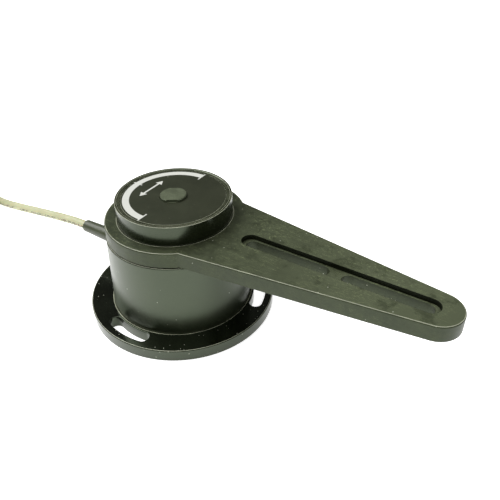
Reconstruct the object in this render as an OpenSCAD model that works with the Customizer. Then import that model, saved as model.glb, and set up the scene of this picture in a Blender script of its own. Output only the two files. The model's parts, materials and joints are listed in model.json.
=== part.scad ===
// Rudder angle sensor: a shaft sensor in a round housing, turned by a long slotted lever.
// The origin is on the shaft axis at the mounting face. +Z runs up the shaft, +X along the lever
// at mid travel, and the cable leaves along -X. Sizes are in millimetres and degrees.

/* [Flange] */
// Diameter of the mounting flange
flange_d = 100; // [98:1:110]
// Thickness of the mounting flange
flange_h = 6.5; // [6:0.1:7]
// Number of curved slots in the flange
flange_slots = 3; // [2:1:3]
// Radius of the circle through the middle of the curved slots
slot_circle_r = 42.7; // [42.4:0.1:44]
// Width of each curved slot
curved_slot_w = 6.5; // [6:0.1:7.8]
// Angle between the centres of a curved slot's round ends
slot_sweep = 26.4; // [20:0.1:40]
// Angle from the lever to the middle of the first curved slot
slot_start = 27; // [0:1:60]

/* [Housing] */
// Diameter of the housing where it stands in the flange
foot_d = 75.4; // [75.2:0.1:76]
// Diameter of the housing at its top
roof_d = 72.4; // [72:0.1:74]
// Height of the housing's top face
roof_z = 46.3; // [46:0.1:47]
// Diameter of the room inside the housing
room_d = 65; // [64:0.5:66]

/* [Lever] */
// Gap between the housing and the lever
lever_gap = 0.4; // [0.3:0.1:0.6]
// Thickness of the lever
lever_h = 8.1; // [7.5:0.1:9]
// Diameter of the lever's hub
hub_d = 71.6; // [70:0.1:73]
// Distance from the shaft axis to the centre of the lever's round tip
arm_reach = 135.5; // [125:0.5:150]
// Diameter of the lever's round tip
tip_d = 22.8; // [20:0.1:26]
// Width that the arm would have on the shaft axis
arm_root_w = 60.6; // [56:0.1:64]
// Chamfer round the top of the lever's hub
lever_chamfer = 0.8; // [0.4:0.1:1.2]
// Start of the recess in the lever's top
recess_start = 41.5; // [40:0.5:44]
// End of the recess in the lever's top
recess_end = 137.2; // [130:0.1:140]
// Width of the recess in the lever's top
recess_w = 9; // [8:0.5:11]
// Depth of the recess in the lever's top
recess_depth = 2.5; // [1:0.5:4]
// Width of the through slots in the floor of the recess
lever_slot_w = 7; // [6:0.5:7.5]
// Thickness of the web between the two through slots
slot_web = 6.5; // [5:0.5:10]

/* [Dial cap] */
// Diameter of the dial cap
cap_d = 58.6; // [58:0.1:59]
// Height of the dial cap's rim
cap_z = 65.1; // [64:0.1:66]
// Diameter of the dial plate
plate_d = 52.8; // [52:0.1:54]
// Travel of the lever to each side, in degrees
travel = 90; // [60:1:90]
// Diameter of the shaft
shaft_d = 13.4; // [13:0.1:14]
// Height of the shaft's top end
shaft_z = 66; // [65.9:0.1:67]

/* [Cable] */
// Diameter of the cable
cable_d = 5; // [4.5:0.1:5.5]
// Height at which the cable leaves the housing
cable_z = 22; // [20:0.5:24]
// Diameter of the strain relief at the housing
boot_d = 9.4; // [8.5:0.1:10]
// Distance from the shaft axis to the end of the strain relief
boot_reach = 72; // [60:1:80]

/* [Hidden] */
$fn = 96;

// Clearances: between pieces that stand still together, and round a shaft that turns
still_gap = 0.03;
turning_gap = 0.05;
sliver = 0.01;

// Flange and bottom cover
edge_chamfer = 0.5;
lip_h = 2.5;
lip_r = 32;
seat_r = foot_d / 2 + 0.1;
cover_r = lip_r - 0.1;
foot_ring_r = 27.5;
foot_ring_z = flange_h;
spigot_h = 3;
spigot_r = foot_ring_r - still_gap;
spigot_wall = 3.4;
seal_wire_d = 1.3;
seal_groove_h = 1.5;
flange_screw_r = 35.1;
cover_screw_r = 29.6;
screws_round = 4;

// Housing roof, bearing and seal
room_r = room_d / 2;
room_top = 39;
roof_edge = 0.5;
boss_r = 13;
boss_z = 33;
bush_r = 8.5;
bush_h = 4.5;
bush_flange_r = 10;
bush_flange_h = 1.2;
lip_seal_r = 10.5;
lip_seal_h = 3.2;
lip_seal_z = roof_z - lip_seal_h - 0.3;
stop_circle_r = 20.5;
stop_pin_r = 2;
stop_pin_low = roof_z - 6;
stop_pin_top = roof_z + 6;

// Shaft and what holds it
shaft_r = shaft_d / 2;
shaft_low = 26;
flat_reach = 0.87 * shaft_r;
flat_turn = 34;
clip_h = 0.9;
clip_r = 9;
washer_h = 0.5;
washer_r = 10;
washer_z = boss_z - bush_flange_h - turning_gap - washer_h;
clip_z = washer_z - turning_gap - clip_h;
groove_r = shaft_r - 0.8;
drive_pin_r = 1.25;
drive_pin_z = 54;

// Potentiometer, bracket and circuit board
bracket_r = 25.5;
bracket_z = 21.3;
bracket_h = 1.6;
pillar_circle_r = 22;
pillar_start = 90;
pillar_r = 3;
stud_r = 1.2;
pot_r = 10;
pot_z = 9.3;
pot_wall = 1.5;
pot_shaft_r = 3;
pot_shaft_top = 35.5;
pot_bore_top = 36;
pot_thread_r = 4.7;
pot_thread_top = 25.5;
wiper_z = 14;
board_r = 26.5;
board_z = 6.9;
board_h = 1.6;
board_top = board_z + board_h;
block_x = -23;
block_size = [9, 15, 8.5];
block_pitch = 4.5;
chips = [[14, -9, 7, 5], [14, 4, 7, 5], [-5, -21, 9, 6]];
chip_h = 1.5;
capacitors = [[22, 0], [4, 20], [-8, 20]];
capacitor_r = 3;
capacitor_h = 7;

// Lever and dial cap
lever_z = roof_z + lever_gap;
hub_r = hub_d / 2;
tip_r = tip_d / 2;
root_r = arm_root_w / 2;
cap_r = cap_d / 2;
cap_seat = lever_z + 1.6;
hub_bore_r = cap_r + 0.1;
hub_ledge_r = 26.5;
slot_inset = (recess_w - lever_slot_w) / 2 + 1.3;
slot_split = (recess_start + recess_end) / 2 + 0.9;
grub_turns = [75, 150];
grub_r = 2;
skirt_r = 25.5;
core_r = 11;
core_z = roof_z + 0.1;
ceiling_z = 60;
rim_step = 0.3;
rim_r = cap_r - 1.1;
plate_r = plate_d / 2;
plate_h = 0.6;
plate_z = cap_z - rim_step - plate_h - 0.1;
rib_in_r = 18;
rib_out_r = 23;
rib_z = stop_pin_top - 4;
stop_half_angle = asin(stop_pin_r / stop_circle_r) + 0.4;
mark_h = 0.06;
band_in_r = 22;
band_out_r = 25.4;
tick_w = 0.7;
arrow_r = 14.5;

// The arm's sides run from the shaft axis to the tip's circle, which they touch
arm_slope = acos(tip_r / norm([arm_reach, root_r])) - atan2(arm_reach, root_r);
tip_steps = 32;
tip_arc = [for (i = [0:tip_steps])
    let (turn = (90 - arm_slope) * (1 - 2 * i / tip_steps))
    [arm_reach + tip_r * cos(turn), tip_r * sin(turn)]];

// Cable, its coil on the floor and its bare end on the coil
cable_r = cable_d / 2;
boot_end_r = 3.6;
boot_edge = 0.25;
boot_inner_x = 28.4;
cable_inner_x = 27;
gland_x = 31.6;
gland_h = 3;
gland_nut_r = 7.2;
core_wire_r = 0.6;
cable_route = [
    [-72, 0, 22], [-82, 0, 21.7], [-93, 0.2, 20.3], [-104, 0.6, 18.5], [-115, 1.2, 16.4],
    [-126, 2, 14.1], [-137, 3, 11.6], [-148, 4.3, 9], [-159, 5.8, 6.4], [-170, 7.6, 4.1],
    [-181, 9.5, 2.8], [-192, 11.3, 2.5], [-203, 12.7, 2.7], [-214, 13.6, 3.1], [-225, 13.9, 3.3]
];
coil_at = [-225, -41.1];
coil_r = 8.5 * cable_d;
coil_rows = 6;
coil_size = coil_rows * cable_d;
tie_h = 0.8;
tie_w = 5;
tie_slack = 0.15;
tie_turns = [45, 225, 315];
tail_z = tie_h + coil_size + cable_r;
tail_turn = 165;
tail_start = -24;
tail_l = 14;
sleeve_r = 2.9;
sleeve_l = 14;
cores_l = 20;
cores_spread = 7;

// ---- Shapes that repeat ----

// Ring with a rectangular section
module ring(outer_r, inner_r, h) {
    difference() {
        cylinder(r = outer_r, h = h);
        translate([0, 0, -sliver]) cylinder(r = inner_r, h = h + 2 * sliver);
    }
}

// Round plate with chamfered edges
module chamfered_disc(r, h, low, high) {
    rotate_extrude()
        polygon([[0, 0], [r - low, 0], [r, low], [r, h - high], [r - high, h], [0, h]]);
}

// Straight slot along +X with round ends
module straight_slot(from_x, to_x, w, h) {
    translate([from_x + w / 2, -w / 2, 0]) cube([to_x - from_x - w, w, h]);
    for (x = [from_x + w / 2, to_x - w / 2])
        translate([x, 0, 0]) cylinder(d = w, h = h);
}

// Curved slot round the Z axis with round ends, its middle on +X
module curved_slot(r, w, sweep, h) {
    rotate([0, 0, -sweep / 2])
        rotate_extrude(angle = sweep)
            translate([r - w / 2, 0]) square([w, h]);
    for (turn = [-sweep / 2, sweep / 2])
        rotate([0, 0, turn]) translate([r, 0, 0]) cylinder(d = w, h = h);
}

// Copies its child round the Z axis
module around(count, r, first = 0) {
    for (i = [0:count - 1])
        rotate([0, 0, first + i * 360 / count]) translate([r, 0, 0]) children();
}

// Countersunk screw standing on its head, with a cross recess
module countersunk_screw(shank, head, length) {
    recess = [head * 0.6, head * 0.12, head * 0.15];
    difference() {
        rotate_extrude()
            polygon([[0, 0], [head, 0], [shank, head - shank], [shank, length], [0, length]]);
        for (turn = [0, 90])
            rotate([0, 0, turn])
                translate([-recess.x, -recess.y, -sliver])
                    cube([2 * recess.x, 2 * recess.y, recess.z]);
    }
}

// The hole that such a screw sits in
module countersunk_hole(shank, head, length) {
    translate([0, 0, -sliver])
        rotate_extrude()
            polygon([
                [0, 0], [head + still_gap + sliver, 0], [shank + still_gap, head - shank + sliver],
                [shank + still_gap, length], [0, length]
            ]);
}

// Pan head screw, its shank up and its head below z = 0
module pan_screw(shank, head, head_h, length) {
    difference() {
        union() {
            translate([0, 0, -head_h]) cylinder(r = head, h = head_h);
            cylinder(r = shank, h = length);
        }
        translate([-head, -head * 0.12, -head_h - sliver])
            cube([2 * head, head * 0.24, head_h * 0.45]);
    }
}

// Hexagon nut across corners 2 * r
module hex_nut(r, bore, h) {
    difference() {
        cylinder(r = r, h = h, $fn = 6);
        translate([0, 0, -sliver]) cylinder(r = bore, h = h + 2 * sliver);
    }
}

// Round tube swept along a route
function unit(v) = v / norm(v);
function heading(route, i) = unit(route[min(i + 1, len(route) - 1)] - route[max(i - 1, 0)]);
function ring_points(middle, ahead, r, sides) =
    let (aside = unit(cross(ahead, [0, 0, 1])), upward = cross(aside, ahead))
    [for (k = [0:sides - 1])
        middle + r * (cos(360 * k / sides) * aside + sin(360 * k / sides) * upward)];
module swept_tube(route, r, sides) {
    last = len(route) - 1;
    points = [for (i = [0:last]) each ring_points(route[i], heading(route, i), r, sides)];
    walls = [for (i = [0:last - 1], k = [0:sides - 1])
        let (a = i * sides + k, b = i * sides + (k + 1) % sides)
        each [[a, b, b + sides], [a, b + sides, a + sides]]];
    start_cap = [for (k = [sides - 1:-1:0]) k];
    end_cap = [for (k = [0:sides - 1]) last * sides + k];
    polyhedron(points, concat(walls, [start_cap, end_cap]));
}

// ---- Flange and housing ----

// Flat ring with curved slots; its inner lip carries the housing
module mounting_flange() {
    r = flange_d / 2;
    color("#2b2d24") difference() {
        chamfered_disc(r, flange_h, edge_chamfer, edge_chamfer);
        translate([0, 0, -sliver]) cylinder(r = lip_r, h = flange_h);
        translate([0, 0, lip_h])
            rotate_extrude()
                polygon([
                    [0, 0], [seat_r, 0], [seat_r, flange_h - lip_h - edge_chamfer],
                    [seat_r + edge_chamfer, flange_h - lip_h], [seat_r + edge_chamfer, flange_h],
                    [0, flange_h]
                ]);
        around(flange_slots, 0, slot_start)
            translate([0, 0, -1])
                curved_slot(slot_circle_r, curved_slot_w, slot_sweep, flange_h + 2);
        around(screws_round, flange_screw_r, 45)
            countersunk_hole(1.5, 2.7, lip_h + 1);
    }
}

// Countersunk screws up through the flange's lip into the housing's wall
module flange_screws() {
    color("silver")
        around(screws_round, flange_screw_r, 45)
            countersunk_screw(1.5, 2.7, 11);
}

// Slightly conical pot, open below, with a thick roof that carries the bearing
module housing_body() {
    foot_r = foot_d / 2;
    roof_r = roof_d / 2;
    color("#3b3e33") difference() {
        union() {
            rotate_extrude()
                polygon([
                    [foot_ring_r, lip_h], [foot_r, lip_h], [foot_r, flange_h],
                    [roof_r, roof_z - roof_edge], [roof_r - roof_edge, roof_z], [0, roof_z],
                    [0, room_top], [room_r, room_top], [room_r, foot_ring_z],
                    [foot_ring_r, foot_ring_z]
                ]);
            translate([0, 0, boss_z]) cylinder(r = boss_r, h = roof_z - boss_z - 1);
        }
        translate([0, 0, boss_z - 1]) cylinder(r = bush_r, h = roof_z);
        translate([0, 0, lip_seal_z]) cylinder(r = lip_seal_r + still_gap, h = roof_z);
        translate([stop_circle_r, 0, stop_pin_low])
            cylinder(r = stop_pin_r + still_gap, h = roof_z);
        around(3, pillar_circle_r, pillar_start)
            translate([0, 0, room_top - 1]) cylinder(r = stud_r + still_gap, h = 5);
        around(screws_round, flange_screw_r, 45)
            cylinder(r = 1.5 + still_gap, h = 12);
        around(screws_round, cover_screw_r)
            cylinder(r = 1 + still_gap, h = foot_ring_z + 1);
        translate([-room_r + 2, 0, cable_z])
            rotate([0, -90, 0]) cylinder(d = boot_d + 2 * still_gap, h = foot_r);
    }
}

// Round cover flush with the mounting face, with a spigot for the seal
module bottom_cover() {
    seal_seat_r = spigot_r - seal_wire_d;
    groove_z = lip_h + (spigot_h - seal_groove_h) / 2;
    color("#33362b") difference() {
        union() {
            chamfered_disc(cover_r, lip_h - still_gap, 0.3, 0);
            translate([0, 0, lip_h - 1]) cylinder(r = spigot_r, h = spigot_h + 1);
        }
        translate([0, 0, lip_h]) cylinder(r = spigot_r - spigot_wall, h = spigot_h + 1);
        translate([0, 0, groove_z]) ring(spigot_r + 1, seal_seat_r, seal_groove_h);
        around(screws_round, cover_screw_r)
            countersunk_hole(1, 1.9, lip_h + 1);
    }
}

// Small countersunk screws that hold the cover
module cover_screws() {
    color("silver")
        around(screws_round, cover_screw_r)
            countersunk_screw(1, 1.9, foot_ring_z);
}

// O-ring in the cover's groove
module cover_seal() {
    color("black")
        translate([0, 0, lip_h + spigot_h / 2])
            rotate_extrude()
                translate([spigot_r - seal_wire_d / 2, 0]) circle(d = seal_wire_d, $fn = 24);
}

// ---- Bearing ----

// Plain bush at the top of the bore
module upper_bush() {
    color("goldenrod")
        translate([0, 0, lip_seal_z - bush_h])
            ring(bush_r - still_gap, shaft_r + turning_gap, bush_h - still_gap);
}

// Flanged bush at the foot of the bore
module lower_bush() {
    color("goldenrod")
        translate([0, 0, boss_z - bush_flange_h]) {
            ring(bush_flange_r, shaft_r + turning_gap, bush_flange_h - still_gap);
            ring(bush_r - still_gap, shaft_r + turning_gap, bush_flange_h + bush_h);
        }
}

// Lip seal round the shaft in the roof
module shaft_seal() {
    color("black")
        translate([0, 0, lip_seal_z + still_gap])
            ring(lip_seal_r, shaft_r + turning_gap, lip_seal_h);
}

// Pin in the roof that the dial cap's rib runs against at each end of the travel
module stop_pin() {
    color("silver")
        translate([stop_circle_r, 0, stop_pin_low + still_gap])
            chamfered_disc(stop_pin_r, stop_pin_top - stop_pin_low, 0.3, 0.3);
}

// ---- Sensor inside the housing ----

// Three pillars under the roof, each with a stud into the roof
module bracket_pillars() {
    pillar_z = bracket_z + bracket_h;
    color("goldenrod")
        around(3, pillar_circle_r, pillar_start)
            difference() {
                union() {
                    translate([0, 0, pillar_z + still_gap])
                        cylinder(r = pillar_r, h = room_top - pillar_z - 2 * still_gap);
                    translate([0, 0, room_top - 1]) cylinder(r = stud_r, h = 4);
                }
                translate([0, 0, pillar_z - 1]) cylinder(r = stud_r + still_gap, h = 8);
            }
}

// Round plate that carries the potentiometer, cut away at the cable
module sensor_bracket() {
    color("silver")
        translate([0, 0, bracket_z])
            difference() {
                cylinder(r = bracket_r, h = bracket_h);
                translate([0, 0, -1]) {
                    cylinder(r = pot_thread_r + 0.1, h = 4);
                    around(3, pillar_circle_r, pillar_start) cylinder(r = stud_r + 0.1, h = 4);
                    around(screws_round, pillar_circle_r, 45) cylinder(r = stud_r + 0.1, h = 4);
                    translate([-bracket_r - 1, -8, 0]) cube([10, 16, 4]);
                }
            }
}

// Screws up through the bracket into the pillars
module bracket_screws() {
    color("silver")
        around(3, pillar_circle_r, pillar_start)
            translate([0, 0, bracket_z - still_gap]) pan_screw(stud_r, 2.4, 1.8, 7);
}

// Closed can with a threaded neck that stands through the bracket
module potentiometer_body() {
    neck_r = pot_shaft_r + turning_gap;
    top = bracket_z - still_gap;
    color("steelblue")
        rotate_extrude()
            polygon([
                [0, pot_z], [pot_r, pot_z], [pot_r, top], [pot_thread_r, top],
                [pot_thread_r, pot_thread_top], [neck_r, pot_thread_top], [neck_r, top - pot_wall],
                [pot_r - pot_wall, top - pot_wall], [pot_r - pot_wall, pot_z + pot_wall],
                [0, pot_z + pot_wall]
            ]);
}

// Nut that clamps the potentiometer's neck to the bracket
module potentiometer_nut() {
    color("silver")
        translate([0, 0, bracket_z + bracket_h + still_gap])
            hex_nut(7, pot_thread_r + still_gap, 2.2);
}

// Three solder pins from the potentiometer into the circuit board
module potentiometer_pins() {
    color("gold")
        for (y = [-3, 0, 3])
            translate([-6, y, board_z - 1]) cylinder(r = 0.4, h = pot_z - board_z + 1 - still_gap);
}

// Round circuit board above the bottom cover
module circuit_board() {
    color("darkgreen")
        translate([0, 0, board_z])
            difference() {
                cylinder(r = board_r, h = board_h);
                translate([0, 0, -1]) {
                    around(screws_round, pillar_circle_r, 45) cylinder(r = stud_r + 0.1, h = 4);
                    for (y = [-3, 0, 3])
                        translate([-6, y, 0]) cylinder(r = 0.45, h = 4);
                }
            }
}

// Spacers between the board and the bracket, each with a stud through the bracket
module board_spacers() {
    color("goldenrod")
        around(screws_round, pillar_circle_r, 45)
            difference() {
                union() {
                    translate([0, 0, board_top + still_gap])
                        cylinder(r = 2.5, h = bracket_z - board_top - 2 * still_gap);
                    translate([0, 0, bracket_z - 1]) cylinder(r = stud_r, h = bracket_h + 1.5);
                }
                translate([0, 0, board_top - 1]) cylinder(r = stud_r + still_gap, h = 8);
            }
}

// Screws up through the board into the spacers
module board_screws() {
    color("silver")
        around(screws_round, pillar_circle_r, 45)
            translate([0, 0, board_z - still_gap]) pan_screw(stud_r, 2.2, 1.3, 7);
}

// Flat chips on top of the board
module board_chips() {
    color("dimgray")
        for (c = chips)
            translate([c[0], c[1], board_top + still_gap]) cube([c[2], c[3], chip_h]);
}

// Upright capacitors on top of the board
module board_capacitors() {
    color("lightgray")
        for (c = capacitors)
            translate([c.x, c.y, board_top + still_gap])
                chamfered_disc(capacitor_r, capacitor_h, 0.3, 0.4);
}

// Terminal block at the cable's side, with an entry and a screw for each core
module terminal_block() {
    color("seagreen")
        translate([block_x, -block_size.y / 2, board_top + still_gap])
            difference() {
                cube(block_size);
                for (i = [-1:1]) {
                    y = block_size.y / 2 + i * block_pitch;
                    translate([block_size.x - 2.8, y, 4]) cylinder(r = 1.6, h = 6);
                    translate([-1, y, 5]) rotate([0, 90, 0]) cylinder(r = 1, h = 5);
                }
            }
}

// ---- Cable entry ----

// Nut on the strain relief's tail inside the wall
module gland_nut() {
    color("goldenrod")
        translate([-gland_x, 0, cable_z])
            rotate([0, 90, 0]) hex_nut(gland_nut_r, boot_d / 2 + still_gap, gland_h);
}

// Tapered boot whose tail goes through the housing's wall
module strain_relief() {
    neck = foot_d / 2;
    color("#4c5142")
        translate([0, 0, cable_z])
            rotate([0, -90, 0])
                rotate_extrude()
                    polygon([
                        [cable_r + still_gap, boot_inner_x], [boot_d / 2, boot_inner_x],
                        [boot_d / 2, neck], [boot_end_r, boot_reach - boot_edge],
                        [boot_end_r - boot_edge, boot_reach], [cable_r + still_gap, boot_reach]
                    ]);
}

// The cable inside the strain relief
module cable_inner() {
    color("#ddddc0")
        translate([-cable_inner_x, 0, cable_z])
            rotate([0, -90, 0]) cylinder(r = cable_r, h = boot_reach - cable_inner_x);
}

// Three cores from the cable's inner end down to the terminal block
module core_wires() {
    start_x = -cable_inner_x + 0.25;
    entry = [block_x + 1, 0, board_top + 5];
    for (i = [-1:1])
        color(["saddlebrown", "white", "limegreen"][i + 1])
            swept_tube([
                [start_x, 1.3 * i, cable_z], [start_x + 1.6, 1.6 * i, cable_z - 0.4],
                [start_x + 2.6, 2.4 * i, cable_z - 2], [start_x + 2.4, 3.4 * i, cable_z - 4.4],
                [start_x + 1.6, 4.2 * i, entry.z + 1.4], [start_x + 3, block_pitch * i, entry.z + 0.2],
                [entry.x, block_pitch * i, entry.z]
            ], core_wire_r, 8);
}

// ---- Free cable ----

// The cable from the strain relief down to the floor and on to the coil
module cable_run() {
    color("#ddddc0") swept_tube(cable_route, cable_r, 12);
}

// Outer shape of the wound cable, lying on its ties
module cable_coil() {
    half = coil_size / 2;
    corner = cable_r;
    color("#ddddc0")
        translate([coil_at.x, coil_at.y, tie_h + half])
            rotate_extrude()
                translate([coil_r, 0])
                    polygon([
                        [-half, corner - half], [corner - half, -half], [half - corner, -half],
                        [half, corner - half], [half, half - corner], [half - corner, half],
                        [corner - half, half], [-half, half - corner]
                    ]);
}

// Flat ties round the coil's bundle
module coil_ties() {
    inside = [coil_size + 2 * tie_slack, tie_w + 1, coil_size + 2 * still_gap];
    outside = coil_size + 2 * tie_h;
    color("#1c1c1c")
        translate([coil_at.x, coil_at.y, 0])
            for (turn = tie_turns)
                rotate([0, 0, turn])
                    translate([coil_r, 0, outside / 2])
                        difference() {
                            cube([outside, tie_w, outside], center = true);
                            cube(inside, center = true);
                        }
}

// Places its child on top of the coil, along the coil's turns from a distance past tail_turn
module on_coil(along) {
    translate([coil_at.x, coil_at.y, tail_z])
        rotate([0, 0, tail_turn])
            translate([coil_r, along, 0])
                rotate([-90, 0, 0]) children();
}

// The last of the cable, lying on the coil
module cable_tail() {
    color("#ddddc0") on_coil(tail_start) cylinder(r = cable_r, h = tail_l);
}

// Shrink sleeve over the cable's stripped end
module end_sleeve() {
    color("#1c1c1c")
        on_coil(tail_start + tail_l + still_gap)
            translate([0, cable_r - sleeve_r, 0])
                cylinder(r = sleeve_r, h = sleeve_l);
}

// The three cores past the sleeve
module core_ends() {
    for (i = [-1:1])
        color(["saddlebrown", "white", "limegreen"][i + 1])
            on_coil(tail_start + tail_l + sleeve_l + 2 * still_gap)
                translate([1.4 * i, cable_r - 1.4 * core_wire_r, 0])
                    rotate([0, cores_spread * i, 0])
                        cylinder(r = core_wire_r, h = cores_l);
}

// ---- What turns ----

// Plastic shaft with a clip groove, a bore for the potentiometer's shaft and two flats on top
module shaft() {
    top_edge = 0.4;
    color("#565a49") difference() {
        rotate_extrude()
            polygon([
                [0, shaft_low], [shaft_r, shaft_low], [shaft_r, clip_z - turning_gap],
                [groove_r, clip_z - turning_gap], [groove_r, clip_z + clip_h + turning_gap],
                [shaft_r, clip_z + clip_h + turning_gap], [shaft_r, shaft_z - top_edge],
                [shaft_r - top_edge, shaft_z], [0, shaft_z]
            ]);
        translate([0, 0, shaft_low - 1])
            cylinder(r = pot_shaft_r + still_gap, h = pot_bore_top - shaft_low + 1);
        translate([0, 0, drive_pin_z])
            rotate([90, 0, 0])
                cylinder(r = drive_pin_r + still_gap, h = shaft_d + 1, center = true);
        translate([0, 0, shaft_low + 2])
            rotate([90, 0, 0]) cylinder(r = 1.25 + still_gap, h = shaft_r + 1);
        for (turn = [flat_turn, flat_turn + 180])
            rotate([0, 0, turn])
                translate([-shaft_r, flat_reach, plate_z + plate_h + mark_h])
                    cube([shaft_d, shaft_r, shaft_z]);
    }
}

// Open spring clip in the shaft's groove
module retaining_ring() {
    color("silver")
        translate([0, 0, clip_z])
            difference() {
                ring(clip_r, groove_r + still_gap, clip_h);
                translate([0, -3, -1]) cube([clip_r + 1, 6, clip_h + 2]);
            }
}

// Washer between the clip and the lower bush
module thrust_washer() {
    color("silver") translate([0, 0, washer_z]) ring(washer_r, shaft_r + still_gap, washer_h);
}

// Potentiometer shaft with its wiper disc inside the can
module potentiometer_shaft() {
    color("silver") {
        translate([0, 0, wiper_z - 2]) cylinder(r = pot_shaft_r, h = pot_shaft_top - wiper_z + 2);
        translate([0, 0, wiper_z]) cylinder(r = pot_r - pot_wall - 0.8, h = 1.5);
    }
}

// Grub screw that clamps the potentiometer's shaft
module coupling_screw() {
    color("dimgray")
        translate([0, -pot_shaft_r - still_gap, shaft_low + 2])
            rotate([90, 0, 0]) cylinder(r = 1.25, h = shaft_r - pot_shaft_r);
}

// Round cap that stands in the lever's ring, with a stop rib under its ceiling
module dial_cap() {
    edge = 0.35;
    rib_from = stop_half_angle + travel;
    floor_z = cap_z - rim_step;
    color("#4d5141") difference() {
        union() {
            rotate_extrude()
                polygon([
                    [shaft_r + still_gap, core_z], [core_r, core_z], [core_r, ceiling_z],
                    [skirt_r, ceiling_z], [skirt_r, cap_seat], [cap_r, cap_seat],
                    [cap_r, cap_z - edge], [cap_r - edge, cap_z], [rim_r, cap_z],
                    [rim_r - rim_step, floor_z], [plate_r + 0.1, floor_z],
                    [plate_r + 0.1, plate_z - still_gap], [shaft_r + still_gap, plate_z - still_gap]
                ]);
            rotate([0, 0, rib_from])
                rotate_extrude(angle = 360 - 2 * rib_from)
                    translate([rib_in_r, rib_z])
                        square([rib_out_r - rib_in_r, ceiling_z - rib_z + 1]);
        }
        translate([0, 0, drive_pin_z])
            rotate([90, 0, 0])
                cylinder(r = drive_pin_r + still_gap, h = 2 * core_r + 1, center = true);
    }
}

// Pin through the cap's core and the shaft
module drive_pin() {
    color("silver")
        translate([0, 0, drive_pin_z])
            rotate([90, 0, 0]) cylinder(r = drive_pin_r, h = 2 * core_r - 0.6, center = true);
}

// Dark label disc in the cap's recess
module dial_plate() {
    color("#24261c") translate([0, 0, plate_z]) ring(plate_r, shaft_r + 0.2, plate_h);
}

// Arrow with two heads across the dial, its middle on -X
module travel_arrow() {
    half = 9;
    head = 3.4;
    linear_extrude(mark_h)
        translate([-arrow_r, 0])
            polygon([
                [0.5, half - head], [2, half - head], [0, half], [-2, half - head], [-0.5, half - head],
                [-0.5, head - half], [-2, head - half], [0, -half], [2, head - half], [0.5, head - half]
            ]);
}

// Printed travel band, a long tick at each end of it, a short one in its middle and an arrow
module scale_marks() {
    color("ivory")
        translate([0, 0, plate_z + plate_h + sliver]) {
            rotate([0, 0, 180 - travel])
                rotate_extrude(angle = 2 * travel)
                    translate([band_in_r, 0]) square([band_out_r - band_in_r, mark_h]);
            for (turn = [180 - travel, 180 + travel])
                rotate([0, 0, turn])
                    translate([20, -tick_w / 2, 0]) cube([plate_r - 20.1, tick_w, mark_h]);
            rotate([0, 0, 180])
                translate([20.9, -tick_w / 2, 0]) cube([plate_r - 21, tick_w, mark_h]);
            travel_arrow();
        }
}

// Straight-sided bar from the shaft axis to the round tip
module arm_bar() {
    linear_extrude(lever_h) polygon(concat([[0, root_r]], tip_arc, [[0, -root_r]]));
}

// Lever: a hub ring round the cap, a tapering arm, a top recess and two through slots
module lever_arm() {
    bore_edge = 0.5;
    slot_start_x = recess_start + slot_inset;
    slot_end_x = recess_end - slot_inset;
    color("#454a3a") translate([0, 0, lever_z]) difference() {
        union() {
            chamfered_disc(hub_r, lever_h, lever_chamfer / 2, lever_chamfer);
            arm_bar();
        }
        translate([0, 0, -1]) cylinder(r = hub_ledge_r, h = lever_h);
        translate([0, 0, cap_seat - lever_z - still_gap]) cylinder(r = hub_bore_r, h = lever_h);
        translate([0, 0, lever_h - bore_edge])
            cylinder(r1 = hub_bore_r, r2 = hub_bore_r + 1, h = 1);
        translate([0, 0, lever_h - recess_depth])
            straight_slot(recess_start, recess_end, recess_w, lever_h);
        translate([0, 0, -1]) {
            straight_slot(slot_start_x, slot_split - slot_web / 2, lever_slot_w, lever_h + 2);
            straight_slot(slot_split + slot_web / 2, slot_end_x, lever_slot_w, lever_h + 2);
        }
        for (turn = grub_turns)
            rotate([0, 0, turn])
                translate([cap_r - 2, 0, lever_h / 2 + 0.5])
                    rotate([0, 90, 0]) cylinder(r = grub_r + still_gap, h = hub_r);
    }
}

// Grub screws in the hub that clamp the lever on the cap, each with a hexagon socket
module lever_grub_screws() {
    color("dimgray")
        for (turn = grub_turns)
            rotate([0, 0, turn])
                translate([hub_bore_r - 0.05, 0, lever_z + lever_h / 2 + 0.5])
                    rotate([0, 90, 0])
                        difference() {
                            cylinder(r = grub_r, h = 5);
                            translate([0, 0, 3]) cylinder(r = 1.1, h = 3, $fn = 6);
                        }
}

mounting_flange();
flange_screws();
housing_body();
bottom_cover();
cover_screws();
cover_seal();
upper_bush();
lower_bush();
shaft_seal();
stop_pin();
bracket_pillars();
sensor_bracket();
bracket_screws();
potentiometer_body();
potentiometer_nut();
potentiometer_pins();
circuit_board();
board_spacers();
board_screws();
board_chips();
board_capacitors();
terminal_block();
gland_nut();
strain_relief();
cable_inner();
core_wires();
cable_run();
cable_coil();
coil_ties();
cable_tail();
end_sleeve();
core_ends();
shaft();
retaining_ring();
thrust_washer();
potentiometer_shaft();
coupling_screw();
dial_cap();
drive_pin();
dial_plate();
scale_marks();
lever_arm();
lever_grub_screws();
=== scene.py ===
"""Looks of the rudder angle sensor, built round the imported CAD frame.

Sizes are in millimetres in the CAD's frame: the origin is on the shaft axis at the mounting face,
+Z runs up the shaft and +X along the lever. Angles are in degrees. Meshes are scaled to metres
as they are made.
"""

import json
import math

import bmesh
import bpy
from mathutils import Matrix, Vector
from mathutils.geometry import tessellate_polygon


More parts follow.
